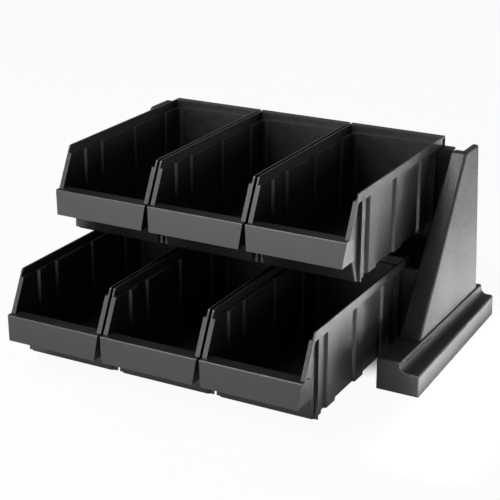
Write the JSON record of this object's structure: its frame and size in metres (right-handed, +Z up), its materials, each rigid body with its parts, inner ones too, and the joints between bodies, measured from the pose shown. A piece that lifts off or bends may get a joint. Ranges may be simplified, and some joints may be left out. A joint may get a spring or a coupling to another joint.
{
  "type": "condiment bin stand",
  "caption": "Tiered self-serve condiment stand: open hopper-front bins hang on cross panels between moulded end supports, and each bin lifts off.",
  "frame": {"origin": "on the table, under the middle of the stand's outer box", "axes": "+X to the right of a person facing the bins, +Y to the back, +Z up"},
  "size_m": [0.5246, 0.4386, 0.2435],
  "materials": {
    "bin_plastic": "smooth semi-gloss black moulded plastic",
    "support_plastic": "finely grained matte black moulded plastic",
    "panel_plastic": "smooth matte black sheet",
    "screw_steel": "black coated pan-head screws"
  },
  "bodies": {
    "stand": {"left_end_support": "support_plastic", "right_end_support": "support_plastic", "upper_back_panel": "panel_plastic", "lower_back_panel": "panel_plastic", "panel_screws": "screw_steel"},
    "upper_left_bin": {"upper_left_bin": "bin_plastic"},
    "upper_middle_bin": {"upper_middle_bin": "bin_plastic"},
    "upper_right_bin": {"upper_right_bin": "bin_plastic"},
    "lower_left_bin": {"lower_left_bin": "bin_plastic"},
    "lower_middle_bin": {"lower_middle_bin": "bin_plastic"},
    "lower_right_bin": {"lower_right_bin": "bin_plastic"}
  },
  "joints": [
    {"name": "upper_left_lift", "type": "slide", "parent": "stand", "child": "upper_left_bin", "axis": [0, 0, 1], "range_m": [0, 0.12]},
    {"name": "upper_middle_lift", "type": "slide", "parent": "stand", "child": "upper_middle_bin", "axis": [0, 0, 1], "range_m": [0, 0.12]},
    {"name": "upper_right_lift", "type": "slide", "parent": "stand", "child": "upper_right_bin", "axis": [0, 0, 1], "range_m": [0, 0.12]},
    {"name": "lower_left_lift", "type": "slide", "parent": "stand", "child": "lower_left_bin", "axis": [0, 0, 1], "range_m": [0, 0.014]},
    {"name": "lower_middle_lift", "type": "slide", "parent": "stand", "child": "lower_middle_bin", "axis": [0, 0, 1], "range_m": [0, 0.014]},
    {"name": "lower_right_lift", "type": "slide", "parent": "stand", "child": "lower_right_bin", "axis": [0, 0, 1], "range_m": [0, 0.014]}
  ]
}
